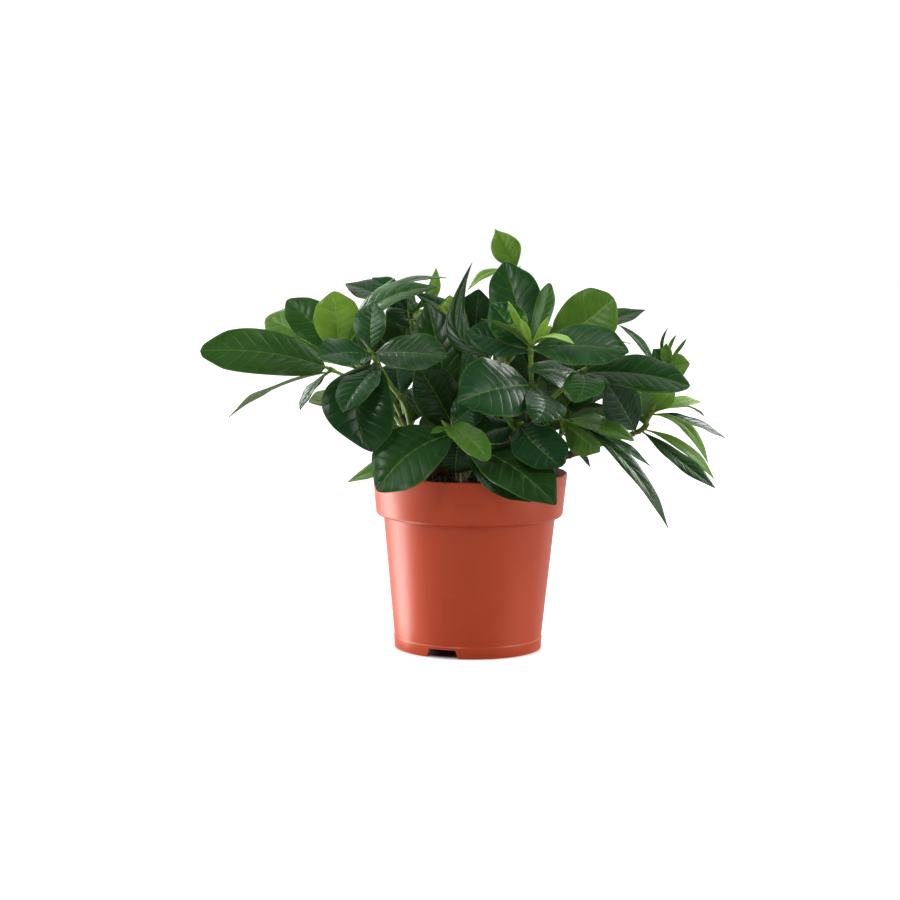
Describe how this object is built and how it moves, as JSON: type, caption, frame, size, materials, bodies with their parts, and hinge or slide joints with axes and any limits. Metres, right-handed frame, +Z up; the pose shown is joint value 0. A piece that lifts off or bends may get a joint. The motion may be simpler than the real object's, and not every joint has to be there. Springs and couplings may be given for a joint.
{
  "type": "potted gardenia",
  "caption": "Young bushy plant with glossy pointed leaves in opposite pairs, in a round tapering plastic nursery pot with a lip band.",
  "frame": {"origin": "on the pot's axis, at the surface that the pot stands on", "axes": "+Z up along the pot's axis, +X to the right along the crown's widest spread, -Y toward the front"},
  "size_m": [0.3449, 0.1971, 0.2789],
  "materials": {
    "pot_plastic": "satin terracotta-orange moulded plastic",
    "soil": "rough dark peat mix",
    "bark": "rough brown young wood",
    "leaves": "glossy dark green leaves, lime where young, on green shoots"
  },
  "bodies": {
    "root": {"pot": "pot_plastic", "soil": "soil", "stem_left": "bark", "stem_middle": "bark", "stem_right": "bark", "stem_side": "bark", "stem_front": "bark", "stem_back": "bark", "shoot_left_far": "leaves", "shoot_left_up": "leaves", "shoot_left_front": "leaves", "shoot_centre_left": "leaves", "shoot_front_low": "leaves", "shoot_front_right": "leaves", "shoot_top_right": "leaves", "shoot_top_back": "leaves", "shoot_right_up": "leaves", "shoot_right_front": "leaves", "shoot_right_tuft": "leaves", "shoot_right_low": "leaves", "shoot_right_hang": "leaves", "shoot_top_left": "leaves", "shoot_inner_middle": "leaves", "shoot_inner_right": "leaves", "shoot_inner_left": "leaves", "shoot_inner_low": "leaves", "shoot_back_top": "leaves", "shoot_back_left": "leaves", "shoot_back_far_left": "leaves", "shoot_back_right": "leaves", "shoot_back_far_right": "leaves", "shoot_back_low": "leaves", "shoot_back_low_left": "leaves", "shoot_back_low_right": "leaves"}
  },
  "joints": []
}
